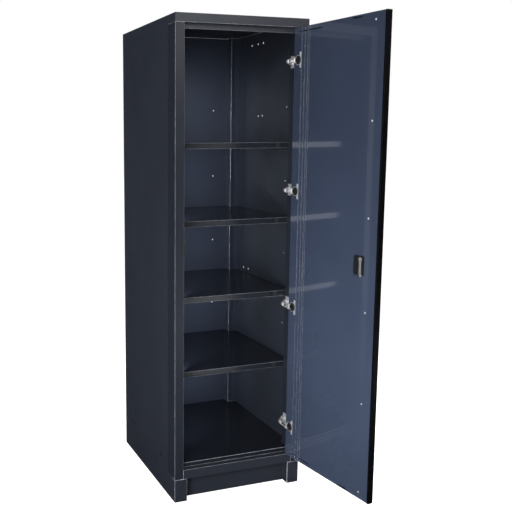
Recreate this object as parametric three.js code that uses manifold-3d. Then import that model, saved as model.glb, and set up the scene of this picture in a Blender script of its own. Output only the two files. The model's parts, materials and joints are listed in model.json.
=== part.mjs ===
// Tall side locker that stands beside a workshop tool chest, with its one inset door open.
// Millimetres. +X is the viewer's right, +Y runs to the back, +Z is up, and the door is at the front.

import * as THREE from 'three';
import { mergeVertices } from 'three/addons/utils/BufferGeometryUtils.js';
import Module from 'manifold-3d';

const wasm = await Module();
wasm.setup();

// Cabinet body
const width = 530;
const depth = 600;
const height = 1800;
const sheet = 1.2;
const seat = 0.3; // gap between pieces that are fixed together
const seam = 0.6; // gap at the joints that show as a line

// Base
const baseHeight = 89;
const baseSheet = 2;
const footWidth = 50;
const footDepth = 32;
const kickPlateLift = 3;

// Front frame
const postWidth = 35;
const postDepth = 72;
const topRailHeight = 32;
const topRailReturn = 46;
const sillHeight = 36;
const sillReturn = 40;

// Door stop under the top rail, and the strike on the left post that the lock cam catches
const stopGap = 2;
const stopWidth = 18;
const stopLeg = 20;
const stopLip = 5.5;
const strikeHeight = 60;

// Rear uprights
const uprightWidth = 40;
const uprightDepth = 36;
const uprightGrooveWidth = 20;
const uprightGrooveDepth = 4;
const uprightGrooveInset = 10;
const uprightSlotWidth = 5;
const uprightSlotHeight = 22;

// Floor deck, shelves and the rails that carry them
const deckRise = 17;
const shelfCount = 4;
const firstShelfRise = 340;
const shelfPitch = 289.4;
const shelfHeight = 21.5;
const shelfGap = 1.5;
const shelfRailSheet = 1.5;
const shelfRailLeg = 14;
const shelfRailLedge = 14;
const shelfRailSetback = 100;
const shelfRailLength = 440;

// Holes in the walls
const shelfHoleRadius = 2.5;
const shelfHoleRise = 136;
const shelfHoleSetback = 150;
const backHoleOffset = 155;
const joiningHoleRadius = 3.5;
const topHoleDrop = 46;
const topHoleSetbacks = [350, 395, 450];
const upperHoleDrop = 342;
const upperHoleSetbacks = [350, 385];
const lowerHoleHeight = 790;
const lowerHoleSetbacks = [128, 455, 500];
const sideSlotLength = 66;
const sideSlotHeight = 4;
const sideSlotRise = 8;
const sideSlotSetbacks = [127, 495];

// Door
const doorThickness = 23;
const doorGap = 2;
const doorTopGap = 4.5;
const doorBottomGap = 2.5;
const doorOpenAngle = 97.5;
const pivotInset = 3.5;
const pivotProud = 1.5;
const skinLip = 7;
const panelMargin = 1.8;
const trimThickness = 6;
const trimRadius = 2.4;
const stileGrooveStarts = [43, 61, 77]; // from the hinge edge
const stileGrooveWidth = 6;
const stileGrooveDepth = 2.5;
const stileWidth = 88;
const stileLip = 4;
const longSlotStart = 30; // from the hinge edge
const longSlotEnd = 150;
const longSlotInset = 16;
const shortSlotStart = 109; // from the free edge
const shortSlotEnd = 151;
const shortSlotInset = 8;
const doorSlotHeight = 4;
const panelScrewCount = 6;
const panelScrewSetback = 47;
const panelScrewEndInset = 25;

// Hinges
const hingeTopInset = 116;
const hingeBottomInset = 122;
const hingeShares = [0, 0.342, 0.658, 1]; // places along the span between the end hinges
const cupSetback = 25;
const cupRadius = 17.2;
const cupWall = 1;
const cupDepth = 11;
const cupHoleGap = 0.5;
const flangeSheet = 1.2;
const flangeRadius = 17.9;
const flangeLength = 57;
const flangeWidth = 8;
const flangeShift = 13;
const cupScrewPitch = 45;
const earSheet = 1.6;
const earReach = 3.5;
const linkSheet = 2;
const linkEyeRadius = 3.2;
const rivetRadius = 2.4;
const rivetHeight = 0.8;
const pinRadius = 1.5;
const pinSetback = 14;
const pinRise = 8;
const pinOverhang = 0.6;
const runningGap = 0.4;
const plateSheet = 2;
const plateLength = 28;
const plateHeight = 44;
const plateInset = 8;
const plateScrewPitch = 32;
const armRootHeight = 18;
const armRootLength = 16;
const armRootInset = 2;
const armThickness = 9.4;
const armHeel = 4.4;
const armNeckLength = 8;
const armNoseHeight = 10;
const armNoseRadius = 4;
const armNoseSetback = 31;
const armNoseRise = 5;

// Lock
const lockSetback = 81; // from the free edge
const lockHeight = 943;
const housingWidth = 41;
const housingLength = 64;
const housingProud = 8;
const housingCorner = 3;
const housingGap = 0.5;
const bezelMargin = 6;
const bezelSheet = 2;
const pocketWidth = 20;
const pocketLength = 56;
const pocketShift = 8;
const pocketFloor = 6;
const plugRadius = 6.2;
const plugShift = 12.5;
const plugRise = 23;
const plugProud = 0.7;
const keySlotWidth = 1.4;
const keySlotLength = 7;
const keySlotDepth = 4;
const camSheet = 2.4;
const camHubRadius = 7.5;
const camReach = 60;
const camBladeWidth = 9;
const camHookWidth = 5;
const camHookLength = 9;

// Screws
const screwHeadRadius = 3.6;
const screwHeadHeight = 1.6;
const screwShankRadius = 1.8;
const camScrewLength = 8;

// Smoothness of round faces
const roundSides = 12;
const cupSides = 24;
const arcSteps = 5;
const mergeTolerance = 1e-4;
const cutMargin = 1; // how far a cutting tool runs past the face it opens

// Lines that several pieces share
const halfWidth = width / 2;
const innerHalf = halfWidth - sheet - seat;
const postInner = halfWidth - postWidth;
const bodyBottom = baseHeight + seam;
const openingTop = height - topRailHeight;
const roofUnderside = height - sheet - seat;
const backFace = depth - sheet - seat;
const frontBehind = sheet + seat;
const sillTop = baseHeight + sillHeight;
const deckTop = sillTop + deckRise;
const uprightFront = backFace - uprightDepth;
const uprightInner = innerHalf - uprightWidth;
const stopFace = doorThickness + stopGap;
const stopBottom = openingTop - seat - stopWidth;
const hingeEdge = postInner - doorGap;
const freeEdge = -hingeEdge;
const skinEdge = freeEdge + trimThickness + seat;
const doorBottom = sillTop + doorBottomGap;
const doorTop = openingTop - doorTopGap;
const panelBottom = doorBottom + panelMargin;
const panelTop = doorTop - panelMargin;
const pivotX = postInner - pivotInset;
const pivotY = -pivotProud;
const pinX = hingeEdge - pinSetback;
const pinY = doorThickness + pinRise;
const lockX = freeEdge + lockSetback;
const plugX = lockX - plugShift;
const plugZ = lockHeight + plugRise;
const housingBack = doorThickness + housingProud;
const camFace = housingBack + seat;
const plateRear = postDepth - plateInset;
const plateFront = plateRear - plateLength;
const plateFace = postInner - seat - plateSheet;
const plateMiddle = (plateFront + plateRear) / 2;
const noseX = hingeEdge - armNoseSetback;
const noseY = doorThickness + armNoseRise;
const linkInner = armNoseHeight / 2 + seat;
const linkOuter = linkInner + linkSheet;
const earInner = linkOuter + runningGap;
const pinReach = earInner + earSheet + pinOverhang;

const lowestShelf = deckTop + firstShelfRise;
const shelfTops = Array.from({ length: shelfCount }, (_, index) => lowestShelf + index * shelfPitch);
const lowestHinge = doorBottom + hingeBottomInset;
const hingeSpan = doorTop - hingeTopInset - lowestHinge;
const hingeHeights = hingeShares.map((share) => lowestHinge + share * hingeSpan);

// Finishes
const paint = { color: 0x272a31, roughness: 0.38, metalness: 0.2 };
const doorPaint = { color: 0x3a4252, roughness: 0.28, metalness: 0.25 };
const shelfPaint = { color: 0x1c1e23, roughness: 0.45, metalness: 0.2 };
const nickel = { color: 0xc9c9c7, roughness: 0.25, metalness: 1 };
const blackPlastic = { color: 0x0e0f12, roughness: 0.5, metalness: 0 };

// Solids from plain geometry

function toSolid(geometry) {
  const bare = geometry.clone();
  bare.deleteAttribute('normal');
  bare.deleteAttribute('uv');
  const merged = mergeVertices(bare, mergeTolerance);
  const vertProperties = Float32Array.from(merged.attributes.position.array);
  const triVerts = Uint32Array.from(merged.index.array);
  return new wasm.Manifold(new wasm.Mesh({ numProp: 3, vertProperties, triVerts }));
}

function fromSolid(solid) {
  const mesh = solid.getMesh();
  const geometry = new THREE.BufferGeometry();
  geometry.setAttribute('position', new THREE.BufferAttribute(mesh.vertProperties, 3));
  geometry.setIndex(new THREE.BufferAttribute(mesh.triVerts, 1));
  return geometry;
}

function cut(geometry, tools) {
  const result = tools.reduce((solid, tool) => solid.subtract(toSolid(tool)), toSolid(geometry));
  return fromSolid(result);
}

function join(geometries) {
  const [first, ...rest] = geometries.map(toSolid);
  return fromSolid(rest.reduce((solid, next) => solid.add(next), first));
}

function block(x0, x1, y0, y1, z0, z1) {
  const geometry = new THREE.BoxGeometry(x1 - x0, y1 - y0, z1 - z0);
  return geometry.translate((x0 + x1) / 2, (y0 + y1) / 2, (z0 + z1) / 2);
}

// A round bar along one axis; centre gives its place on the other two axes, in X, Y, Z order.
function bar(axis, radius, from, to, centre, sides = roundSides) {
  const geometry = new THREE.CylinderGeometry(radius, radius, to - from, sides);
  const middle = (from + to) / 2;
  const [first, second] = centre;
  if (axis === 'x') return geometry.rotateZ(Math.PI / 2).translate(middle, first, second);
  if (axis === 'y') return geometry.translate(first, middle, second);
  return geometry.rotateX(Math.PI / 2).translate(first, second, middle);
}

// A flat shape run along one axis: X takes a YZ shape, Y an XZ shape and Z an XY shape.
function runAlong(axis, shape, from, to) {
  const options = { depth: to - from, bevelEnabled: false, curveSegments: arcSteps };
  const geometry = new THREE.ExtrudeGeometry(shape, options);
  const alongX = new THREE.Vector3(1, 0, 0);
  const alongY = new THREE.Vector3(0, 1, 0);
  const alongZ = new THREE.Vector3(0, 0, 1);
  if (axis === 'x') {
    const turn = new THREE.Matrix4().makeBasis(alongY, alongZ, alongX);
    return geometry.applyMatrix4(turn).translate(from, 0, 0);
  }
  if (axis === 'y') {
    const turn = new THREE.Matrix4().makeBasis(alongX, alongZ, alongY.clone().negate());
    return geometry.applyMatrix4(turn).translate(0, to, 0);
  }
  return geometry.translate(0, 0, from);
}

function outline(points) {
  return new THREE.Shape(points.map(([a, b]) => new THREE.Vector2(a, b)));
}

function ordered(a, b) {
  return [Math.min(a, b), Math.max(a, b)];
}

function roundedRectangle(a, b, length, breadth, radius) {
  const [left, right] = [a - length / 2 + radius, a + length / 2 - radius];
  const [low, high] = [b - breadth / 2 + radius, b + breadth / 2 - radius];
  const shape = new THREE.Shape();
  shape.absarc(right, low, radius, -Math.PI / 2, 0);
  shape.absarc(right, high, radius, 0, Math.PI / 2);
  shape.absarc(left, high, radius, Math.PI / 2, Math.PI);
  shape.absarc(left, low, radius, Math.PI, 1.5 * Math.PI);
  return shape;
}

// Moves a line of points sideways, to the left of its direction of travel, with mitred corners.
function shifted(points, distance, closed = false) {
  const count = points.length;
  const leftOf = (from, to) => new THREE.Vector2(from[1] - to[1], to[0] - from[0]).normalize();
  return points.map((point, index) => {
    const before = closed ? points[(index + count - 1) % count] : points[index - 1];
    const after = closed ? points[(index + 1) % count] : points[index + 1];
    const incoming = before ? leftOf(before, point) : leftOf(point, after);
    const outgoing = after ? leftOf(point, after) : incoming;
    const mitre = incoming.clone().add(outgoing);
    mitre.multiplyScalar(distance / (1 + incoming.dot(outgoing)));
    return [point[0] + mitre.x, point[1] + mitre.y];
  });
}

// The section of a folded sheet: its thickness lies to the left of the fold line, or right if negative.
function folded(points, thickness) {
  return outline([...points, ...shifted(points, thickness).reverse()]);
}

// A sheet with its edges turned down all round; points run anticlockwise seen from above.
function pan(points, bottom, top) {
  const inside = outline(shifted(points, sheet, true));
  const hollow = runAlong('z', inside, bottom - cutMargin, top - sheet);
  return cut(runAlong('z', outline(points), bottom, top), [hollow]);
}

function mirroredOutline(rightHalf) {
  const leftHalf = rightHalf.map(([x, y]) => [-x, y]).reverse();
  return [...rightHalf, ...leftHalf];
}

// A screw along an axis: its head starts at the seat and grows in the outward direction.
function screw(axis, seatAt, outward, gripLength, centre) {
  const head = ordered(seatAt, seatAt + outward * screwHeadHeight);
  const shank = ordered(seatAt - outward * gripLength, seatAt + outward * screwHeadHeight / 2);
  return join([
    bar(axis, screwHeadRadius, ...head, centre),
    bar(axis, screwShankRadius, ...shank, centre),
  ]);
}

// Cabinet pieces; side is -1 for the left one and 1 for the right one

function sidePanel(side) {
  const points = [
    [postDepth + seam, bodyBottom],
    [depth, bodyBottom],
    [depth, roofUnderside],
    [frontBehind, roofUnderside],
    [frontBehind, openingTop],
    [postDepth + seam, openingTop],
  ];
  const joiningHoles = [
    ...topHoleSetbacks.map((setback) => [setback, height - topHoleDrop]),
    ...upperHoleSetbacks.map((setback) => [setback, height - upperHoleDrop]),
    ...lowerHoleSetbacks.map((setback) => [setback, lowerHoleHeight]),
  ];
  const shelfHoles = shelfTops.map((top) => [shelfHoleSetback, top + shelfHoleRise]);
  const [left, right] = ordered(side * halfWidth, side * (halfWidth - sheet));
  const [from, to] = [left - cutMargin, right + cutMargin];
  const slotLow = sillTop + sideSlotRise - sideSlotHeight / 2;
  return cut(runAlong('x', outline(points), left, right), [
    ...joiningHoles.map((place) => bar('x', joiningHoleRadius, from, to, place)),
    ...shelfHoles.map((place) => bar('x', shelfHoleRadius, from, to, place)),
    ...sideSlotSetbacks.map((y) => (
      block(from, to, y - sideSlotLength / 2, y + sideSlotLength / 2, slotLow, slotLow + sideSlotHeight)
    )),
  ]);
}

function backPanel() {
  const panel = block(-innerHalf, innerHalf, depth - sheet, depth, bodyBottom, roofUnderside);
  const holes = shelfTops.flatMap((top) => [-1, 1].map((side) => bar(
    'y',
    shelfHoleRadius,
    depth - sheet - cutMargin,
    depth + cutMargin,
    [side * backHoleOffset, top + shelfHoleRise],
  )));
  return cut(panel, holes);
}

function topPanel() {
  return block(-halfWidth, halfWidth, frontBehind, depth, height - sheet, height);
}

function topRail() {
  const face = block(-halfWidth, halfWidth, 0, sheet, openingTop, height);
  const underside = block(-innerHalf, innerHalf, sheet / 2, topRailReturn, openingTop, openingTop + sheet);
  return join([face, underside]);
}

function frontPost(side) {
  const points = [
    [side * halfWidth, postDepth],
    [side * halfWidth, 0],
    [side * postInner, 0],
    [side * postInner, postDepth],
  ];
  return runAlong('z', folded(points, -side * sheet), bodyBottom, openingTop - seam);
}

function sillRail() {
  const points = [[0, bodyBottom], [0, sillTop], [sillReturn, sillTop]];
  return runAlong('x', folded(points, -sheet), seat - postInner, postInner - seat);
}

function floorDeck() {
  const rightHalf = [
    [postInner - seat, stopFace],
    [postInner - seat, postDepth + seat],
    [innerHalf, postDepth + seat],
    [innerHalf, uprightFront - seat],
    [uprightInner - seat, uprightFront - seat],
    [uprightInner - seat, backFace],
  ];
  return pan(mirroredOutline(rightHalf), sillTop + seat, deckTop);
}

function upperStop() {
  const under = openingTop - seat;
  const points = [
    [stopFace + stopLeg, under],
    [stopFace, under],
    [stopFace, stopBottom],
    [stopFace + stopLip, stopBottom],
  ];
  return runAlong('x', folded(points, sheet), seat - postInner, postInner - seat);
}

function lockStrike() {
  const wall = seat - postInner;
  const points = [
    [wall, stopFace + stopLeg],
    [wall, stopFace],
    [wall + stopWidth, stopFace],
    [wall + stopWidth, stopFace + stopLip],
  ];
  return runAlong('z', folded(points, sheet), plugZ - strikeHeight / 2, plugZ + strikeHeight / 2);
}

function rearUpright(side) {
  const grooveOuter = innerHalf - uprightGrooveInset;
  const grooveInner = grooveOuter - uprightGrooveWidth;
  const grooveFloor = uprightFront + uprightGrooveDepth;
  const points = [
    [side * innerHalf, uprightFront],
    [side * grooveOuter, uprightFront],
    [side * grooveOuter, grooveFloor],
    [side * grooveInner, grooveFloor],
    [side * grooveInner, uprightFront],
    [side * uprightInner, uprightFront],
    [side * uprightInner, backFace],
  ];
  const post = runAlong('z', folded(points, -side * sheet), deckTop + seat, roofUnderside - seat);
  const slotMiddle = side * (grooveOuter + grooveInner) / 2;
  const slots = shelfTops.map((top) => block(
    slotMiddle - uprightSlotWidth / 2,
    slotMiddle + uprightSlotWidth / 2,
    grooveFloor - cutMargin,
    grooveFloor + sheet + cutMargin,
    top + shelfHoleRise - uprightSlotHeight / 2,
    top + shelfHoleRise + uprightSlotHeight / 2,
  ));
  return cut(post, slots);
}

function sideSkirt(side) {
  const [left, right] = ordered(side * halfWidth, side * (halfWidth - baseSheet));
  return block(left, right, footDepth + seat, depth, 0, baseHeight);
}

function rearSkirt() {
  const reach = halfWidth - baseSheet - seat;
  return block(-reach, reach, depth - baseSheet, depth, 0, baseHeight);
}

function kickPlate() {
  const reach = halfWidth - baseSheet - seat;
  const front = footDepth + seat;
  return block(-reach, reach, front, front + baseSheet, kickPlateLift, baseHeight);
}

function frontFoot(side) {
  const [left, right] = ordered(side * halfWidth, side * (halfWidth - footWidth));
  const shell = block(left, right, 0, footDepth, 0, baseHeight);
  const hollow = block(
    left + baseSheet,
    right - baseSheet,
    baseSheet,
    footDepth - baseSheet,
    baseSheet,
    baseHeight + cutMargin,
  );
  return cut(shell, [hollow]);
}

function shelf(top) {
  const side = innerHalf - shelfGap;
  const notch = uprightInner - shelfGap;
  const front = postDepth + shelfGap;
  const rightHalf = [
    [side, front],
    [side, uprightFront - shelfGap],
    [notch, uprightFront - shelfGap],
    [notch, backFace - shelfGap],
  ];
  return pan(mirroredOutline(rightHalf), top - shelfHeight, top);
}

function shelfRail(side, shelfTop) {
  const ledge = shelfTop - shelfHeight - seat;
  const points = [
    [side * innerHalf, ledge - shelfRailLeg],
    [side * innerHalf, ledge],
    [side * (innerHalf - shelfRailLedge), ledge],
  ];
  const section = folded(points, side * shelfRailSheet);
  return runAlong('y', section, shelfRailSetback, shelfRailSetback + shelfRailLength);
}

// Hinge pieces on the right post

function hingePlate(z) {
  const back = plateFace + plateSheet;
  const plate = block(plateFace, back, plateFront, plateRear, z - plateHeight / 2, z + plateHeight / 2);
  const holes = [-1, 1].map((end) => bar(
    'x',
    screwShankRadius + runningGap,
    plateFace - cutMargin,
    back + cutMargin,
    [plateMiddle, z + end * plateScrewPitch / 2],
  ));
  return cut(plate, holes);
}

// The arm's nose lies between the two cheeks of the hinge link.
function hingeArm(z) {
  const root = plateFace - seat;
  const rootRear = plateRear - armRootInset;
  const rootFront = rootRear - armRootLength;
  const shape = new THREE.Shape();
  shape.absarc(noseX, noseY, armNoseRadius, Math.PI, 2 * Math.PI);
  shape.lineTo(noseX + armNoseRadius, noseY + armNeckLength);
  shape.lineTo(root - armHeel, rootFront);
  shape.lineTo(root, rootFront);
  shape.lineTo(root, rootRear);
  shape.lineTo(root - armThickness, rootRear);
  shape.lineTo(noseX - armNoseRadius, noseY + armNeckLength);
  const neck = runAlong('z', shape, z - armNoseHeight / 2, z + armNoseHeight / 2);
  const halfRoot = armRootHeight / 2;
  const rootBlock = block(root - armThickness, root, rootFront, rootRear, z - halfRoot, z + halfRoot);
  return join([neck, rootBlock]);
}

// Door pieces, described with the door shut

function doorSkin() {
  const skinDepth = doorThickness - sheet - seat;
  const shell = block(skinEdge, hingeEdge, 0, skinDepth, doorBottom, doorTop);
  const hollow = block(
    skinEdge + sheet,
    hingeEdge - sheet,
    sheet,
    skinDepth - sheet,
    doorBottom + sheet,
    doorTop - sheet,
  );
  const mouth = block(
    skinEdge + skinLip,
    hingeEdge - skinLip,
    skinDepth / 2,
    skinDepth + cutMargin,
    doorBottom + sheet,
    doorTop - sheet,
  );
  return cut(shell, [hollow, mouth, lockOpening()]);
}

function lockOpening() {
  const reach = housingWidth / 2 + housingGap;
  const rise = housingLength / 2 + housingGap;
  return block(
    lockX - reach,
    lockX + reach,
    -cutMargin,
    doorThickness + cutMargin,
    lockHeight - rise,
    lockHeight + rise,
  );
}

// Long and short slots near the top and bottom edges of the door's inner face.
function doorSlots() {
  const longSlot = [hingeEdge - longSlotEnd, hingeEdge - longSlotStart];
  const shortSlot = [freeEdge + shortSlotStart, freeEdge + shortSlotEnd];
  const slot = (ends, z) => block(
    ...ends,
    doorThickness - stileGrooveDepth - sheet - cutMargin,
    doorThickness + cutMargin,
    z - doorSlotHeight / 2,
    z + doorSlotHeight / 2,
  );
  return [
    slot(longSlot, doorTop - longSlotInset),
    slot(longSlot, doorBottom + longSlotInset),
    slot(shortSlot, doorTop - shortSlotInset),
    slot(shortSlot, doorBottom + shortSlotInset),
  ];
}

function hingeStile() {
  const floor = doorThickness - stileGrooveDepth;
  const groove = (start) => [
    [start, doorThickness],
    [start, floor],
    [start - stileGrooveWidth, floor],
    [start - stileGrooveWidth, doorThickness],
  ];
  const points = [
    [hingeEdge - panelMargin, doorThickness],
    ...stileGrooveStarts.flatMap((start) => groove(hingeEdge - start)),
    [hingeEdge - stileWidth, doorThickness],
    [hingeEdge - stileWidth, doorThickness - stileLip],
  ];
  const strip = runAlong('z', folded(points, sheet), panelBottom, panelTop);
  const cupHoles = hingeHeights.map((z) => bar(
    'y',
    cupRadius + cupHoleGap,
    floor - sheet - cutMargin,
    doorThickness + cutMargin,
    [hingeEdge - cupSetback, z],
    cupSides,
  ));
  return cut(strip, [...cupHoles, ...doorSlots()]);
}

function panelScrewPlaces() {
  const lowest = doorBottom + panelScrewEndInset;
  const step = (doorTop - panelScrewEndInset - lowest) / (panelScrewCount - 1);
  const column = freeEdge + panelScrewSetback;
  return Array.from({ length: panelScrewCount }, (_, index) => [column, lowest + index * step]);
}

function innerPanel() {
  const left = skinEdge;
  const right = hingeEdge - stileWidth - seat;
  const face = block(left, right, doorThickness - sheet, doorThickness, panelBottom, panelTop);
  const screwHoles = panelScrewPlaces().map((place) => bar(
    'y',
    screwShankRadius + runningGap,
    doorThickness - sheet - cutMargin,
    doorThickness + cutMargin,
    place,
  ));
  return cut(face, [lockOpening(), ...screwHoles, ...doorSlots()]);
}

function edgeTrim() {
  const shape = new THREE.Shape();
  shape.moveTo(freeEdge + trimThickness, 0);
  shape.lineTo(freeEdge + trimThickness, doorThickness);
  shape.absarc(freeEdge + trimRadius, doorThickness - trimRadius, trimRadius, Math.PI / 2, Math.PI);
  shape.absarc(freeEdge + trimRadius, trimRadius, trimRadius, Math.PI, 1.5 * Math.PI);
  return runAlong('z', shape, doorBottom, doorTop);
}

function hingeCup(z) {
  const centreX = hingeEdge - cupSetback;
  const underside = doorThickness + seat;
  const face = underside + flangeSheet;
  const floor = doorThickness - cupDepth;
  const wings = roundedRectangle(centreX - flangeShift, z, flangeWidth, flangeLength, flangeWidth / 3);
  const ear = (end) => block(
    pinX - earReach,
    centreX + flangeRadius,
    face - flangeSheet / 2,
    pinY + earReach,
    ...ordered(z + end * earInner, z + end * (earInner + earSheet)),
  );
  const shell = join([
    bar('y', cupRadius, floor, face, [centreX, z], cupSides),
    bar('y', flangeRadius, underside, face, [centreX, z], cupSides),
    runAlong('y', wings, underside, face),
  ]);
  const hollow = bar('y', cupRadius - cupWall, floor + cupWall, face + cutMargin, [centreX, z], cupSides);
  const cup = join([cut(shell, [hollow]), ear(-1), ear(1)]);
  const pinHole = bar('z', pinRadius + seat, z - pinReach, z + pinReach, [pinX, pinY]);
  const screwHoles = [-1, 1].map((end) => bar(
    'y',
    screwShankRadius + runningGap,
    underside - cutMargin,
    face + cutMargin,
    [centreX - flangeShift, z + end * cupScrewPitch / 2],
  ));
  return cut(cup, [pinHole, ...screwHoles]);
}

function hingePin(z) {
  return bar('z', pinRadius, z - pinReach, z + pinReach, [pinX, pinY]);
}

// One hinge link, with its eye at the origin: two cheeks that reach along +X to the arm's nose.
function hingeLink(length) {
  const cheek = new THREE.Shape();
  cheek.absarc(0, 0, linkEyeRadius, Math.PI / 2, 1.5 * Math.PI);
  cheek.absarc(length, 0, linkEyeRadius, -Math.PI / 2, Math.PI / 2);
  const body = join([
    bar('z', linkEyeRadius - seat, -linkOuter, linkOuter, [0, 0]),
    runAlong('z', cheek, linkInner, linkOuter),
    runAlong('z', cheek, -linkOuter, -linkInner),
    bar('z', rivetRadius, linkInner + linkSheet / 2, linkOuter + rivetHeight, [length, 0]),
    bar('z', rivetRadius, -linkOuter - rivetHeight, -linkInner - linkSheet / 2, [length, 0]),
  ]);
  return cut(body, [bar('z', pinRadius + runningGap, -pinReach, pinReach, [0, 0])]);
}

// Lock pieces

function lockHousing() {
  const bezel = roundedRectangle(
    lockX,
    lockHeight,
    housingWidth + 2 * bezelMargin,
    housingLength + 2 * bezelMargin,
    housingCorner + bezelMargin,
  );
  const body = roundedRectangle(lockX, lockHeight, housingWidth, housingLength, housingCorner);
  const shell = join([
    runAlong('y', bezel, -seat - bezelSheet, -seat),
    runAlong('y', body, -seat - bezelSheet / 2, housingBack),
  ]);
  const pocket = roundedRectangle(lockX + pocketShift, lockHeight, pocketWidth, pocketLength, housingCorner);
  const outside = -seat - bezelSheet - cutMargin;
  return cut(shell, [
    runAlong('y', pocket, outside, housingBack - pocketFloor),
    bar('y', plugRadius + seat, outside, housingBack + cutMargin, [plugX, plugZ], cupSides),
  ]);
}

function lockPlug() {
  const front = -seat - bezelSheet - plugProud;
  const barrel = bar('y', plugRadius, front, housingBack, [plugX, plugZ], cupSides);
  const keySlot = block(
    plugX - keySlotWidth / 2,
    plugX + keySlotWidth / 2,
    front - cutMargin,
    front + keySlotDepth,
    plugZ - keySlotLength / 2,
    plugZ + keySlotLength / 2,
  );
  const screwBore = bar(
    'y',
    screwShankRadius + runningGap,
    housingBack - camScrewLength,
    housingBack + cutMargin,
    [plugX, plugZ],
  );
  return cut(barrel, [keySlot, screwBore]);
}

// The cam hangs down from its hub when unlocked, with a hooked tip.
function lockCam() {
  const tip = plugZ - camReach;
  const left = plugX - camBladeWidth / 2;
  const right = plugX + camBladeWidth / 2;
  const shoulder = Math.acos(camBladeWidth / 2 / camHubRadius);
  const shape = new THREE.Shape();
  shape.absarc(plugX, plugZ, camHubRadius, -shoulder, Math.PI + shoulder);
  shape.lineTo(left, tip + camHookLength);
  shape.lineTo(left - camHookWidth, tip + camHookLength);
  shape.lineTo(left - camHookWidth, tip + camHookLength / 2);
  shape.lineTo(left, tip);
  shape.lineTo(right - camHookWidth, tip);
  shape.lineTo(right, tip + camHookLength);
  const back = camFace + camSheet;
  const holeRadius = screwShankRadius + runningGap;
  const screwHole = bar('y', holeRadius, camFace - cutMargin, back + cutMargin, [plugX, plugZ]);
  return cut(runAlong('y', shape, camFace, back), [screwHole]);
}

function camScrew() {
  const gripLength = camSheet + 2 * seat + camScrewLength / 2;
  return screw('y', camFace + camSheet + seat, 1, gripLength, [plugX, plugZ]);
}

// Assembly

function addPart(group, name, geometry, finish) {
  const part = new THREE.Mesh(geometry, new THREE.MeshStandardMaterial(finish));
  part.name = name;
  group.add(part);
}

const cabinet = new THREE.Group();
addPart(cabinet, 'left_side_panel', sidePanel(-1), paint);
addPart(cabinet, 'right_side_panel', sidePanel(1), paint);
addPart(cabinet, 'back_panel', backPanel(), paint);
addPart(cabinet, 'top_panel', topPanel(), paint);
addPart(cabinet, 'top_rail', topRail(), paint);
addPart(cabinet, 'left_front_post', frontPost(-1), paint);
addPart(cabinet, 'right_front_post', frontPost(1), paint);
addPart(cabinet, 'sill_rail', sillRail(), paint);
addPart(cabinet, 'floor_deck', floorDeck(), shelfPaint);
addPart(cabinet, 'upper_door_stop', upperStop(), paint);
addPart(cabinet, 'lock_strike', lockStrike(), paint);
addPart(cabinet, 'left_rear_upright', rearUpright(-1), paint);
addPart(cabinet, 'right_rear_upright', rearUpright(1), paint);
addPart(cabinet, 'left_skirt', sideSkirt(-1), paint);
addPart(cabinet, 'right_skirt', sideSkirt(1), paint);
addPart(cabinet, 'rear_skirt', rearSkirt(), paint);
addPart(cabinet, 'kick_plate', kickPlate(), paint);
addPart(cabinet, 'left_front_foot', frontFoot(-1), paint);
addPart(cabinet, 'right_front_foot', frontFoot(1), paint);
shelfTops.forEach((top, index) => {
  addPart(cabinet, `shelf_${index + 1}`, shelf(top), shelfPaint);
  addPart(cabinet, `shelf_rail_left_${index + 1}`, shelfRail(-1, top), paint);
  addPart(cabinet, `shelf_rail_right_${index + 1}`, shelfRail(1, top), paint);
});
hingeHeights.forEach((z, index) => {
  addPart(cabinet, `hinge_plate_${index + 1}`, hingePlate(z), nickel);
  addPart(cabinet, `hinge_arm_${index + 1}`, hingeArm(z), nickel);
});

const door = new THREE.Group();
door.position.set(-pivotX, -pivotY, 0);
addPart(door, 'door_skin', doorSkin(), paint);
addPart(door, 'door_inner_panel', innerPanel(), doorPaint);
addPart(door, 'door_hinge_stile', hingeStile(), doorPaint);
addPart(door, 'door_edge_trim', edgeTrim(), blackPlastic);
addPart(door, 'lock_housing', lockHousing(), blackPlastic);
addPart(door, 'lock_plug', lockPlug(), nickel);
addPart(door, 'lock_cam', lockCam(), nickel);
addPart(door, 'lock_cam_screw', camScrew(), nickel);
hingeHeights.forEach((z, index) => {
  addPart(door, `hinge_cup_${index + 1}`, hingeCup(z), nickel);
  addPart(door, `hinge_pin_${index + 1}`, hingePin(z), nickel);
});

// Each link reaches from its pin on the open door back to the nose of its arm.
const swing = THREE.MathUtils.degToRad(doorOpenAngle);
const openPin = new THREE.Vector2(pinX, pinY).rotateAround(new THREE.Vector2(pivotX, pivotY), swing);
const linkRun = new THREE.Vector2(noseX, noseY).sub(openPin);
hingeHeights.forEach((z, index) => {
  const link = new THREE.Group();
  link.position.set(pinX, pinY, z);
  link.rotation.z = linkRun.angle() - swing;
  addPart(link, `hinge_link_${index + 1}`, hingeLink(linkRun.length()), nickel);
  door.add(link);
});

const doorSwing = new THREE.Group();
doorSwing.position.set(pivotX, pivotY, 0);
doorSwing.rotation.z = swing;
doorSwing.add(door);

// The origin is under the middle of the whole locker's box, on the floor.
const standing = new THREE.Group();
standing.add(cabinet, doorSwing);
const bounds = new THREE.Box3().setFromObject(standing, true);
const middle = bounds.getCenter(new THREE.Vector3());
standing.position.set(-middle.x, -middle.y, -bounds.min.z);

const locker = new THREE.Group();
locker.add(standing);
locker.updateMatrixWorld(true);

export default locker;
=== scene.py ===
# Tall side locker with its door open: finishes, rounded folds, screws, light and camera.
import json
import math

import bmesh
import bpy
from mathutils import Matrix, Vector


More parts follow.
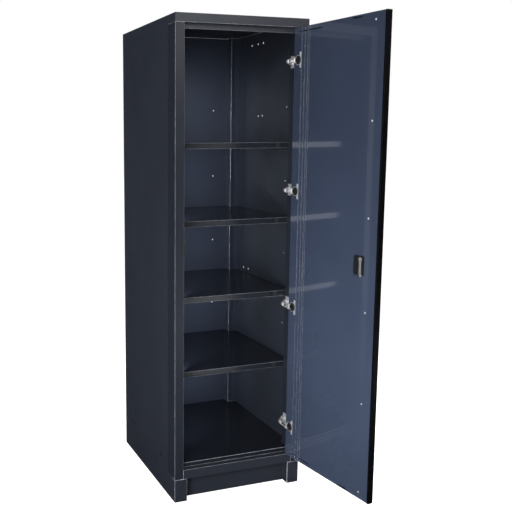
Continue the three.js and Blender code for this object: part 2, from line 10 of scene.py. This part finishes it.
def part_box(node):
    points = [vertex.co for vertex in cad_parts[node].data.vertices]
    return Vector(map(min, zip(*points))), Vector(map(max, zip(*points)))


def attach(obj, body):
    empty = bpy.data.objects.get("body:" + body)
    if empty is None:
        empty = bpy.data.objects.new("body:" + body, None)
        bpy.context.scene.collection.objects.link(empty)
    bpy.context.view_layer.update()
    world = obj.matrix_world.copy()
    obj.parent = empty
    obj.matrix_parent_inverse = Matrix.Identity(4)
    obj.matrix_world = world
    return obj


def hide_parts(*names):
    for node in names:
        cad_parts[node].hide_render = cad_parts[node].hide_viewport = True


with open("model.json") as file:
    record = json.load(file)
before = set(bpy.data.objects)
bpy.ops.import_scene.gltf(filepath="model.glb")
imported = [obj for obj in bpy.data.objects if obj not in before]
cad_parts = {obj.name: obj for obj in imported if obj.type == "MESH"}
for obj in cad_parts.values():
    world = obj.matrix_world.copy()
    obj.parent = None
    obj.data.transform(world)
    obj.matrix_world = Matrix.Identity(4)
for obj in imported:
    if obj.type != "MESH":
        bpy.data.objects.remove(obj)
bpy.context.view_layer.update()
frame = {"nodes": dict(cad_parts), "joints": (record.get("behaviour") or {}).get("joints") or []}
scene = bpy.context.scene
print("frame loaded:", len(frame["nodes"]), "nodes")


# Small node helpers

def startMaterial(name):
    material = bpy.data.materials.new(name)
    material.use_nodes = True
    tree = material.node_tree
    tree.nodes.clear()
    output = tree.nodes.new("ShaderNodeOutputMaterial")
    shader = tree.nodes.new("ShaderNodeBsdfPrincipled")
    tree.links.new(shader.outputs["BSDF"], output.inputs["Surface"])
    return material, tree, shader


def feed(tree, node, values):
    for name, value in values.items():
        if isinstance(value, bpy.types.NodeSocket):
            tree.links.new(value, node.inputs[name])
        else:
            node.inputs[name].default_value = value


def objectCoords(tree, stretch=(1, 1, 1)):
    coords = tree.nodes.new("ShaderNodeTexCoord")
    mapping = tree.nodes.new("ShaderNodeMapping")
    feed(tree, mapping, {"Vector": coords.outputs["Object"], "Scale": stretch})
    return mapping.outputs["Vector"]


def attribute(tree, name):
    node = tree.nodes.new("ShaderNodeAttribute")
    node.attribute_name = name
    return node.outputs["Fac"]


def noise(tree, coords, scale, detail=2.0, roughness=0.5):
    node = tree.nodes.new("ShaderNodeTexNoise")
    feed(tree, node, {"Vector": coords, "Scale": scale, "Detail": detail, "Roughness": roughness})
    return node.outputs["Fac"]


def spread(tree, value, low, high, fromLow=0.3, fromHigh=0.7):
    node = tree.nodes.new("ShaderNodeMapRange")
    feed(tree, node, {"Value": value, "From Min": fromLow, "From Max": fromHigh})
    feed(tree, node, {"To Min": low, "To Max": high})
    return node.outputs["Result"]


# this node repeats its socket names for each kind of value, so the ones for colour go by number
mixColour = {"factor": 0, "first": 6, "second": 7, "result": 2}


def blendColours(tree, factor, first, second):
    node = tree.nodes.new("ShaderNodeMix")
    node.data_type = "RGBA"
    feed(tree, node, {mixColour["factor"]: factor})
    for place, colour in (("first", first), ("second", second)):
        value = colour if isinstance(colour, bpy.types.NodeSocket) else (*colour, 1)
        feed(tree, node, {mixColour[place]: value})
    return node.outputs[mixColour["result"]]


def arithmetic(tree, operation, first, second):
    node = tree.nodes.new("ShaderNodeMath")
    node.operation = operation
    feed(tree, node, {0: first, 1: second})
    return node.outputs["Value"]


def bump(tree, height, strength, distance):
    node = tree.nodes.new("ShaderNodeBump")
    feed(tree, node, {"Height": height, "Strength": strength, "Distance": distance})
    return node.outputs["Normal"]


# Powder coat: fine orange peel, faint clouding, and pale paint along the folds, a painted highlight
# broken up by wear noise
cabinetCoat = {
    "colour": (0.0200, 0.0236, 0.0330),
    "cloud": (0.0230, 0.0270, 0.0375),
    "foldHighlight": (0.42, 0.44, 0.50),
    "roughness": (0.30, 0.38),
    "specular": 0.35,
    "coat": 0,
    "peelScale": 700,
    "peelDepth": 0.10,
}
shelfCoat = {
    "colour": (0.0100, 0.0118, 0.0165),
    "cloud": (0.0125, 0.0145, 0.0200),
    "foldHighlight": (0.46, 0.48, 0.54),
    "roughness": (0.18, 0.24),
    "specular": 0.62,
    "coat": 0,
    "peelScale": 700,
    "peelDepth": 0.08,
}
# the door's inner paint is a lighter, bluer copy of the cabinet's paint: painted light for the door's
# brighter inner face
doorCoat = {
    "colour": (0.0375, 0.0505, 0.0850),
    "cloud": (0.0415, 0.0552, 0.0925),
    "foldHighlight": (0.50, 0.54, 0.64),
    "roughness": (0.14, 0.20),
    "specular": 0.4,
    "coat": 1,
    "peelScale": 500,
    "peelDepth": 0.04,
}
# what all coats share, with each noise as scale, detail and roughness
coatGrain = {
    "cloudNoise": (4.5, 4, 0.6),
    "highlightWearNoise": (60, 5, 0.65),
    "highlightWear": (0.35, 1.0),
    "highlightWearFrom": (0.35, 0.65),
    "sheenNoise": (11, 5, 0.6),
    "peelHeight": 0.0004,
    "clearRoughness": 0.035,
    "clearIor": 1.8,
}


def makePaint(name, look):
    material, tree, shader = startMaterial(name)
    coords = objectCoords(tree)
    cloud = spread(tree, noise(tree, coords, *coatGrain["cloudNoise"]), 0, 1)
    paint = blendColours(tree, cloud, look["colour"], look["cloud"])
    highlightWear = noise(tree, coords, *coatGrain["highlightWearNoise"])
    highlightAndWear = spread(tree, highlightWear, *coatGrain["highlightWear"], *coatGrain["highlightWearFrom"])
    # the folds take the pale fold colour: a painted highlight, broken up by wear noise
    edge = arithmetic(tree, "MULTIPLY", attribute(tree, "fold"), highlightAndWear)
    sheen = noise(tree, coords, *coatGrain["sheenNoise"])
    peel = noise(tree, coords, look["peelScale"])
    feed(tree, shader, {
        "Base Color": blendColours(tree, edge, paint, look["foldHighlight"]),
        "Roughness": spread(tree, sheen, *look["roughness"]),
        "Specular IOR Level": look["specular"],
        "Coat Weight": look["coat"],
        "Coat Roughness": coatGrain["clearRoughness"],
        "Coat IOR": coatGrain["clearIor"],
        "Normal": bump(tree, peel, look["peelDepth"], coatGrain["peelHeight"]),
    })
    return material


# Bright nickel plate on the hinges and screws, with painted shade darkening the inside of the hinge cups
nickelPlate = {
    "colour": (0.90, 0.90, 0.91),
    "dull": (0.68, 0.68, 0.69),
    "cupShade": (0.050, 0.052, 0.056),
    "metallic": 0.8,
    "patchNoise": (90, 4, 0.6),
    "roughness": (0.48, 0.62),
    "grainNoise": (260, 3, 0.6),
    "grainStretch": (1, 1, 7),
    "grainDepth": 0.06,
    "grainHeight": 0.0002,
}


def makeNickel(name, look):
    material, tree, shader = startMaterial(name)
    patch = spread(tree, noise(tree, objectCoords(tree), *look["patchNoise"]), 0, 1)
    plate = blendColours(tree, patch, look["colour"], look["dull"])
    grain = noise(tree, objectCoords(tree, look["grainStretch"]), *look["grainNoise"])
    feed(tree, shader, {
        "Base Color": blendColours(tree, attribute(tree, "inside"), plate, look["cupShade"]),
        "Metallic": look["metallic"],
        "Roughness": spread(tree, grain, *look["roughness"]),
        "Normal": bump(tree, grain, look["grainDepth"], look["grainHeight"]),
    })
    return material


# Moulded black plastic of the lock case, and the smooth black strip on the door's free edge
lockPlastic = {
    "colour": (0.0060, 0.0065, 0.0080),
    "scuff": (0.0120, 0.0125, 0.0145),
    "roughness": (0.34, 0.48),
    "textureScale": 1400,
    "textureDepth": 0.25,
    "specular": 0.4,
}
edgeStrip = {
    "colour": (0.0022, 0.0024, 0.0030),
    "scuff": (0.0045, 0.0047, 0.0055),
    "roughness": (0.22, 0.32),
    "textureScale": 500,
    "textureDepth": 0.05,
    "specular": 0.03,
}
plasticGrain = {
    "scuffNoise": (35, 6, 0.7),
    "scuffFrom": (0.45, 0.75),
    "sheenNoise": (25, 4, 0.6),
    "textureHeight": 0.0003,
}


def makePlastic(name, look):
    material, tree, shader = startMaterial(name)
    coords = objectCoords(tree)
    scuffs = noise(tree, coords, *plasticGrain["scuffNoise"])
    scuff = spread(tree, scuffs, 0, 1, *plasticGrain["scuffFrom"])
    sheen = noise(tree, coords, *plasticGrain["sheenNoise"])
    texture = noise(tree, coords, look["textureScale"])
    feed(tree, shader, {
        "Base Color": blendColours(tree, scuff, look["colour"], look["scuff"]),
        "Roughness": spread(tree, sheen, *look["roughness"]),
        "Specular IOR Level": look["specular"],
        "Normal": bump(tree, texture, look["textureDepth"], plasticGrain["textureHeight"]),
    })
    return material


finishes = {
    "cabinet_paint": makePaint("cabinetPaint", cabinetCoat),
    "shelf_paint": makePaint("shelfPaint", shelfCoat),
    "door_paint": makePaint("doorPaint", doorCoat),
    "nickel": makeNickel("nickelPlate", nickelPlate),
    "black_plastic": makePlastic("lockPlastic", lockPlastic),
    "black_trim": makePlastic("edgeStrip", edgeStrip),
}
print("finishes made:", ", ".join(finishes))


# The door hangs open. Places on it are given from the middle of the cabinet's front with the door shut,
# at its hinge's lower limit, and then swung with it
doorHinge = next(joint for joint in frame["joints"] if joint["name"] == "door_hinge")
hingePlace = Vector((*doorHinge["pos_m"][:2], 0))
railLow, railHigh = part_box("top_rail")
frontMiddle = Vector(((railLow.x + railHigh.x) / 2, railLow.y, 0))
shutToOpen = (Matrix.Translation(hingePlace)
              @ Matrix.Rotation(math.radians(-doorHinge["range_deg"][0]), 4, "Z")
              @ Matrix.Translation(frontMiddle - hingePlace))
doorNormal = (shutToOpen.to_3x3() @ Vector((0, 1, 0))).normalized()


# Each CAD piece gets a copy with rounded folds. An edge is rounded if it is longer than the reach and
# the faces beside it run further than that from it
foldSizes = {
    "sheet": {"radius": 0.0019, "reach": 0.0042},
    "upright": {"radius": 0.0030, "reach": 0.0042},
    "stile": {"radius": 0.0018, "reach": 0.0024},
    "small": {"radius": 0.0005, "reach": 0.0011},
}
folding = {
    "steps": 3,
    "roundness": 0.5,
    "sharpAngle": math.radians(35),
    "flatAngle": 0.002,
    "mergeDistance": 2e-6,
}


def reachFrom(edge, face):
    start = edge.verts[0].co
    along = (edge.verts[1].co - start).normalized()
    return max(((v.co - start) - along * (v.co - start).dot(along)).length for v in face.verts)


def roundFolds(mesh, radius, reach):
    bm = bmesh.new()
    bm.from_mesh(mesh)
    bmesh.ops.remove_doubles(bm, verts=bm.verts, dist=folding["mergeDistance"])
    bmesh.ops.dissolve_limit(bm, angle_limit=folding["flatAngle"], verts=bm.verts, edges=bm.edges)
    layer = bm.faces.layers.float.new("fold")
    sharp = []
    for edge in bm.edges:
        if len(edge.link_faces) != 2 or edge.calc_face_angle_signed(0) < folding["sharpAngle"]:
            continue
        if edge.calc_length() > reach and min(reachFrom(edge, f) for f in edge.link_faces) > reach:
            sharp.append(edge)
    if sharp:
        made = bmesh.ops.bevel(bm, geom=sharp, offset=radius, offset_type="OFFSET", affect="EDGES",
                               segments=folding["steps"], profile=folding["roundness"],
                               clamp_overlap=True)
        for face in made["faces"]:
            face[layer] = 1
    for face in bm.faces:
        face.smooth = True
    bm.to_mesh(mesh)
    bm.free()
    mesh.set_sharp_from_angle(angle=folding["sharpAngle"])


def dress(nodeName, body, finish, size, material=None):
    source = frame["nodes"][nodeName]
    mesh = source.data.copy()
    mesh.materials.clear()
    mesh.materials.append(material or finishes[finish])
    roundFolds(mesh, **foldSizes[size])
    piece = bpy.data.objects.new(nodeName + "_finished", mesh)
    scene.collection.objects.link(piece)
    even = piece.modifiers.new("evenFaces", "WEIGHTED_NORMAL")
    even.keep_sharp = True
    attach(piece, body)
    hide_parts(nodeName)


# there are four shelves and four hinges
sides = ("left", "right")
numbers = range(1, 5)
sheetPieces = {
    "cabinet_paint": [
        "back_panel", "top_panel", "top_rail", "sill_rail", "upper_door_stop", "lock_strike",
        "rear_skirt", "kick_plate",
        *[f"{side}_{name}" for side in sides
          for name in ("side_panel", "front_post", "rear_upright", "skirt", "front_foot")],
        *[f"shelf_rail_{side}_{n}" for side in sides for n in numbers],
    ],
    "shelf_paint": ["floor_deck", *[f"shelf_{n}" for n in numbers]],
}
# the uprights' ribs get a brighter painted highlight than the other folds, and the posts a darker copy
# of the paint as painted shade
ribHighlightCoat = {**cabinetCoat, "foldHighlight": (0.90, 0.92, 1.0)}
shadedPostCoat = {
    **cabinetCoat,
    "colour": (0.0145, 0.0172, 0.0246),
    "cloud": (0.0165, 0.0196, 0.0276),
    "specular": 0.28,
}
ownPaint = {
    "rear_upright": makePaint("ribHighlightPaint", ribHighlightCoat),
    "front_post": makePaint("shadedPostPaint", shadedPostCoat),
}
for finish, names in sheetPieces.items():
    for name in names:
        size = "upright" if "upright" in name else "sheet"
        paint = next((paint for part, paint in ownPaint.items() if name.endswith(part)), None)
        dress(name, "cabinet", finish, size, paint)
print("cabinet sheets rounded:", sum(len(names) for names in sheetPieces.values()))

# the ribs of the door's stile get a bright painted highlight like those of the uprights
stileHighlightCoat = {**doorCoat, "foldHighlight": (0.96, 0.98, 1.0)}
stileHighlightPaint = makePaint("stileHighlightPaint", stileHighlightCoat)
doorPieces = {
    "door_skin": ("cabinet_paint", "sheet"),
    "door_inner_panel": ("door_paint", "sheet"),
    "door_hinge_stile": ("door_paint", "stile"),
    "door_edge_trim": ("black_trim", "small"),
    "lock_housing": ("black_plastic", "small"),
}
for name, (finish, size) in doorPieces.items():
    dress(name, "door", finish, size, stileHighlightPaint if size == "stile" else None)

hardware = {
    "cabinet": [f"hinge_{name}_{n}" for name in ("plate", "arm") for n in numbers],
    "door": [f"hinge_{name}_{n}" for name in ("cup", "pin") for n in numbers],
    "lock": ["lock_plug", "lock_cam", "lock_cam_screw"],
}
for n in numbers:
    hardware[f"link_{n}"] = [f"hinge_link_{n}"]
# the lock's zinc is duller than the hinges
zincPlate = {**nickelPlate, "colour": (0.46, 0.46, 0.47), "dull": (0.30, 0.30, 0.31)}
zinc = makeNickel("zincPlate", zincPlate)
for body, names in hardware.items():
    for name in names:
        dress(name, body, "nickel", "small", zinc if body == "lock" else None)

# a cup's faces behind its mouth, just under the door's inner face, are its inside, darkened with painted
# shade
cupMouth = 0.0225
mouthPlace = shutToOpen @ Vector((0, cupMouth, 0))
for n in numbers:
    cup = bpy.data.objects[f"hinge_cup_{n}_finished"].data
    inside = cup.attributes.new("inside", "FLOAT", "FACE")
    for face in cup.polygons:
        inside.data[face.index].value = float((face.center - mouthPlace).dot(doorNormal) < 0)
print("door and hardware rounded")


# Cross-head screws, one Geometry Nodes tree for all of them
screwHead = {
    "Head Radius": 0.0036,
    "Head Height": 0.0017,
    "Cross Length": 0.0038,
    "Cross Width": 0.0009,
    "Cross Depth": 0.0011,
}
# the head's stages, as shares of its radius and height, overlap a little so that they join
screwShape = {
    "corners": 20,
    "stages": (
        {"radii": (1.0, 0.93), "heights": (0.0, 0.45)},
        {"radii": (0.93, 0.72), "heights": (0.45, 0.8)},
        {"radii": (0.72, 0.38), "heights": (0.8, 1.0)},
    ),
    "overlap": 0.01,
    "sharpAngle": math.radians(30),
}


def makeScrewTree():
    tree = bpy.data.node_groups.new("crossHeadScrews", "GeometryNodeTree")
    ports = tree.interface
    ports.new_socket("Geometry", in_out="INPUT", socket_type="NodeSocketGeometry")
    for name in screwHead:
        ports.new_socket(name, in_out="INPUT", socket_type="NodeSocketFloat")
    ports.new_socket("Facing", in_out="INPUT", socket_type="NodeSocketVector")
    ports.new_socket("Finish", in_out="INPUT", socket_type="NodeSocketMaterial")
    ports.new_socket("Geometry", in_out="OUTPUT", socket_type="NodeSocketGeometry")
    given = tree.nodes.new("NodeGroupInput")
    made = tree.nodes.new("NodeGroupOutput")
    link = tree.links.new

    def node(kind, **settings):
        fresh = tree.nodes.new(kind)
        for key, value in settings.items():
            setattr(fresh, key, value)
        return fresh

    def times(socket, amount):
        return arithmetic(tree, "MULTIPLY", socket, amount)

    def vector(x=0, y=0, z=0):
        combined = node("ShaderNodeCombineXYZ")
        feed(tree, combined, {"X": x, "Y": y, "Z": z})
        return combined.outputs["Vector"]

    def moved(geometry, offset):
        place = node("GeometryNodeTransform")
        feed(tree, place, {"Geometry": geometry, "Translation": offset})
        return place.outputs["Geometry"]

    # head: a short collar under a domed cap
    radius, height = given.outputs["Head Radius"], given.outputs["Head Height"]
    overlap = screwShape["overlap"]
    head = node("GeometryNodeMeshBoolean", operation="UNION")
    for stage in screwShape["stages"]:
        low, high = stage["radii"]
        start, end = stage["heights"]
        cone = node("GeometryNodeMeshCone")
        feed(tree, cone, {
            "Vertices": screwShape["corners"],
            "Radius Bottom": times(radius, low),
            "Radius Top": times(radius, high),
            "Depth": times(height, end - start + 2 * overlap),
        })
        foot = vector(z=times(height, start - overlap))
        link(moved(cone.outputs["Mesh"], foot), head.inputs[1])

    # cross recess: two bars sunk into the cap
    length, width, depth = (given.outputs["Cross " + side] for side in ("Length", "Width", "Depth"))
    recess = node("GeometryNodeMeshBoolean", operation="DIFFERENCE")
    link(head.outputs["Mesh"], recess.inputs[0])
    for size in (vector(length, width, times(depth, 2)), vector(width, length, times(depth, 2))):
        slot = node("GeometryNodeMeshCube")
        link(size, slot.inputs["Size"])
        link(moved(slot.outputs["Mesh"], vector(z=height)), recess.inputs[1])

    turn = node("FunctionNodeAlignRotationToVector", axis="Z")
    link(given.outputs["Facing"], turn.inputs["Vector"])
    points = node("GeometryNodeMeshToPoints")
    link(given.outputs["Geometry"], points.inputs["Mesh"])
    stamp = node("GeometryNodeInstanceOnPoints")
    link(points.outputs["Points"], stamp.inputs["Points"])
    link(recess.outputs["Mesh"], stamp.inputs["Instance"])
    link(turn.outputs["Rotation"], stamp.inputs["Rotation"])
    real = node("GeometryNodeRealizeInstances")
    link(stamp.outputs["Instances"], real.inputs["Geometry"])
    coat = node("GeometryNodeSetMaterial")
    link(real.outputs["Geometry"], coat.inputs["Geometry"])
    link(given.outputs["Finish"], coat.inputs["Material"])
    link(coat.outputs["Geometry"], made.inputs["Geometry"])
    return tree


screwTree = makeScrewTree()


def screws(name, places, facing, finish, body, sizes):
    mesh = bpy.data.meshes.new(name)
    mesh.from_pydata([tuple(p) for p in places], [], [])
    piece = bpy.data.objects.new(name, mesh)
    scene.collection.objects.link(piece)
    modifier = piece.modifiers.new("screws", "NODES")
    modifier.node_group = screwTree
    values = {**sizes, "Facing": facing, "Finish": finishes[finish]}
    for item in screwTree.interface.items_tree:
        if item.in_out == "INPUT" and item.name in values:
            modifier[item.identifier] = values[item.name]
    view = bpy.context.evaluated_depsgraph_get()
    piece.data = bpy.data.meshes.new_from_object(piece.evaluated_get(view))
    piece.modifiers.clear()
    piece.data.name = name
    piece.data.set_sharp_from_angle(angle=screwShape["sharpAngle"])
    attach(piece, body)


panelScrews = {"x": -0.181, "face": 0.023, "lowest": 0.1525, "highest": 1.7385, "count": 6}
cupScrews = {"x": 0.190, "face": 0.0245, "pitch": 0.045}
plateScrews = {"pitch": 0.032}

step = (panelScrews["highest"] - panelScrews["lowest"]) / (panelScrews["count"] - 1)
panelPlaces = []
for i in range(panelScrews["count"]):
    place = Vector((panelScrews["x"], panelScrews["face"], panelScrews["lowest"] + i * step))
    panelPlaces.append(shutToOpen @ place)
screws("door_panel_screws", panelPlaces, doorNormal, "nickel", "door", screwHead)

cupPlaces, platePlaces = [], []
for n in numbers:
    low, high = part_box(f"hinge_plate_{n}")
    middle = (low + high) / 2
    for end in (-0.5, 0.5):
        place = Vector((cupScrews["x"], cupScrews["face"], middle.z + end * cupScrews["pitch"]))
        cupPlaces.append(shutToOpen @ place)
        platePlaces.append(Vector((low.x, middle.y, middle.z + end * plateScrews["pitch"])))
screws("hinge_cup_screws", cupPlaces, doorNormal, "nickel", "door", screwHead)
screws("hinge_plate_screws", platePlaces, (-1, 0, 0), "nickel", "cabinet", screwHead)
print("screws set:", len(panelPlaces) + len(cupPlaces) + len(platePlaces))


# Pale floor and surroundings, white to the camera and in reflections
studio = {
    "floorColour": (0.86, 0.86, 0.86),
    "floorRoughness": 0.9,
    "floorGlow": 0.95,
    "floorSize": 40,
    "floorDrop": 0.001,
    "ambient": 0.2,
}


def seenDirectly(tree):
    path = tree.nodes.new("ShaderNodeLightPath")
    seen = arithmetic(tree, "MAXIMUM", path.outputs["Is Camera Ray"], path.outputs["Is Glossy Ray"])
    return arithmetic(tree, "MAXIMUM", seen, path.outputs["Is Transmission Ray"])


def makeFloor(look):
    half, low = look["floorSize"] / 2, -look["floorDrop"]
    mesh = bpy.data.meshes.new("studioFloor")
    corners = [(-half, -half, low), (half, -half, low), (half, half, low), (-half, half, low)]
    mesh.from_pydata(corners, [], [(0, 1, 2, 3)])
    floor = bpy.data.objects.new("studioFloor", mesh)
    scene.collection.objects.link(floor)
    material, tree, shader = startMaterial("studioFloor")
    feed(tree, shader, {
        "Base Color": (*look["floorColour"], 1),
        "Roughness": look["floorRoughness"],
        "Specular IOR Level": 0,
        "Emission Color": (1, 1, 1, 1),
        "Emission Strength": arithmetic(tree, "MULTIPLY", seenDirectly(tree), look["floorGlow"]),
    })
    mesh.materials.append(material)


def makeWorld(look):
    world = bpy.data.worlds.new("studioWorld")
    world.use_nodes = True
    scene.world = world
    tree = world.node_tree
    tree.nodes.clear()
    output = tree.nodes.new("ShaderNodeOutputWorld")
    background = tree.nodes.new("ShaderNodeBackground")
    level = spread(tree, seenDirectly(tree), look["ambient"], 1, 0, 1)
    feed(tree, background, {"Color": (1, 1, 1, 1), "Strength": level})
    tree.links.new(background.outputs["Background"], output.inputs["Surface"])


# Dark cards that only show in reflections: two rugs, and walls at the left rear, in front and at the
# right. The fronts of the shelves mirror the white gap between the last two
darkCards = {
    "colour": (0.012, 0.013, 0.016),
    "rugs": [((-2.6, -1.3), (2.8, 3.6)), ((-2.6, -3.2), (0.4, -1.3))],
    "rugHeight": 0.002,
    "walls": {
        "left": {"line": ((-1.9, 0.6), (-1.9, 3.6), (-0.3, 3.6)), "height": 3.2},
        "front": {"line": ((-0.8, -3.4), (1.5, -3.4)), "height": 1.7},
        "right": {"line": ((2.6, -3.4), (2.8, -3.4), (3.2, -0.6)), "height": 1.7},
    },
}


def makeCards(look):
    points, faces = [], []

    def addCard(corners):
        faces.append(tuple(range(len(points), len(points) + len(corners))))
        points.extend(corners)

    low = look["rugHeight"]
    for (x0, y0), (x1, y1) in look["rugs"]:
        addCard([(x0, y0, low), (x1, y0, low), (x1, y1, low), (x0, y1, low)])
    for wall in look["walls"].values():
        for start, end in zip(wall["line"], wall["line"][1:]):
            addCard([(*start, 0), (*end, 0), (*end, wall["height"]), (*start, wall["height"])])
    mesh = bpy.data.meshes.new("darkCards")
    mesh.from_pydata(points, [], faces)
    cards = bpy.data.objects.new("darkCards", mesh)
    scene.collection.objects.link(cards)
    material, tree, shader = startMaterial("darkCards")
    feed(tree, shader, {"Base Color": (*look["colour"], 1), "Roughness": 1, "Specular IOR Level": 0})
    mesh.materials.append(material)
    cards.visible_camera = cards.visible_diffuse = cards.visible_shadow = False


makeFloor(studio)
makeWorld(studio)
makeCards(darkCards)

# Soft boxes: the main one high at the left of the camera, a tall strip further left that the shelf
# edges mirror into the door, a low one aimed at the lower part of the door, one high in front for the
# top rail, a slim one behind the left post that fills the inside, and two behind the locker, one at the
# right for its back and one at the left for its left side
lamps = {
    "main": {"place": (-1.85, -2.85, 3.0), "aim": (0.0, 0.0, 1.0), "size": (1.4, 1.2),
             "watts": 65, "spread": 180},
    "strip": {"place": (-2.3, -2.1, 0.95), "aim": (0.0, 0.0, 0.95), "size": (0.8, 1.85),
              "watts": 41, "spread": 180},
    "low": {"place": (-1.45, -1.35, 0.5), "aim": (0.26, -0.33, 0.55), "size": (0.4, 0.4),
            "watts": 3.2, "spread": 55, "mirrored": False},
    "high": {"place": (0.65, -2.7, 2.35), "aim": (0.0, 0.0, 1.5), "size": (1.2, 0.8),
             "watts": 9, "spread": 180},
    "inside": {"place": (-0.2, 0.03, 0.9), "aim": (0.14, 0.58, 0.9), "size": (0.02, 1.45),
               "watts": 3.4, "spread": 62, "colour": (0.80, 0.87, 1.0)},
    "rear": {"place": (2.2, 1.9, 2.2), "aim": (0.1, 0.1, 0.9), "size": (1.6, 1.6),
             "watts": 42, "spread": 100},
    "side": {"place": (-1.8, 1.7, 1.05), "aim": (-0.27, 0.25, 0.9), "size": (0.8, 1.4),
             "watts": 9, "spread": 100, "mirrored": False},
}
for name, lamp in lamps.items():
    light = bpy.data.lights.new(name, "AREA")
    light.shape = "RECTANGLE"
    light.size, light.size_y = lamp["size"]
    light.energy = lamp["watts"]
    light.spread = math.radians(lamp["spread"])
    light.color = lamp.get("colour", (1, 1, 1))
    holder = bpy.data.objects.new(name, light)
    holder.location = lamp["place"]
    facing = Vector(lamp["aim"]) - Vector(lamp["place"])
    holder.rotation_euler = facing.to_track_quat("-Z", "Y").to_euler()
    holder.visible_camera = False
    holder.visible_glossy = lamp.get("mirrored", True)
    scene.collection.objects.link(holder)
scene.view_settings.view_transform = "Standard"
print("studio set:", len(lamps), "lamps")


# Camera at the photograph's angle
shot = {
    "place": (-1.239123, -2.510764, 1.377203),
    "yaw": 0.32861,
    "pitch": -0.14054,
    "roll": -0.00566,
    "lens": 51.7348,
    "sensor": 36,
    "shift": (0.226563, -0.03125),
    "farthest": 100,
}


def makeCamera(look):
    yaw, pitch = look["yaw"], look["pitch"]
    forward = Vector((math.sin(yaw) * math.cos(pitch), math.cos(yaw) * math.cos(pitch), math.sin(pitch)))
    right = Vector((math.cos(yaw), -math.sin(yaw), 0))
    up = right.cross(forward)
    turn = Matrix((right, up, -forward)).transposed() @ Matrix.Rotation(look["roll"], 3, "Z")
    lens = bpy.data.cameras.new("photoCamera")
    lens.sensor_width = look["sensor"]
    lens.lens = look["lens"]
    lens.shift_x, lens.shift_y = look["shift"]
    lens.clip_end = look["farthest"]
    camera = bpy.data.objects.new("photoCamera", lens)
    camera.matrix_world = Matrix.Translation(look["place"]) @ turn.to_4x4()
    scene.collection.objects.link(camera)
    scene.camera = camera


makeCamera(shot)
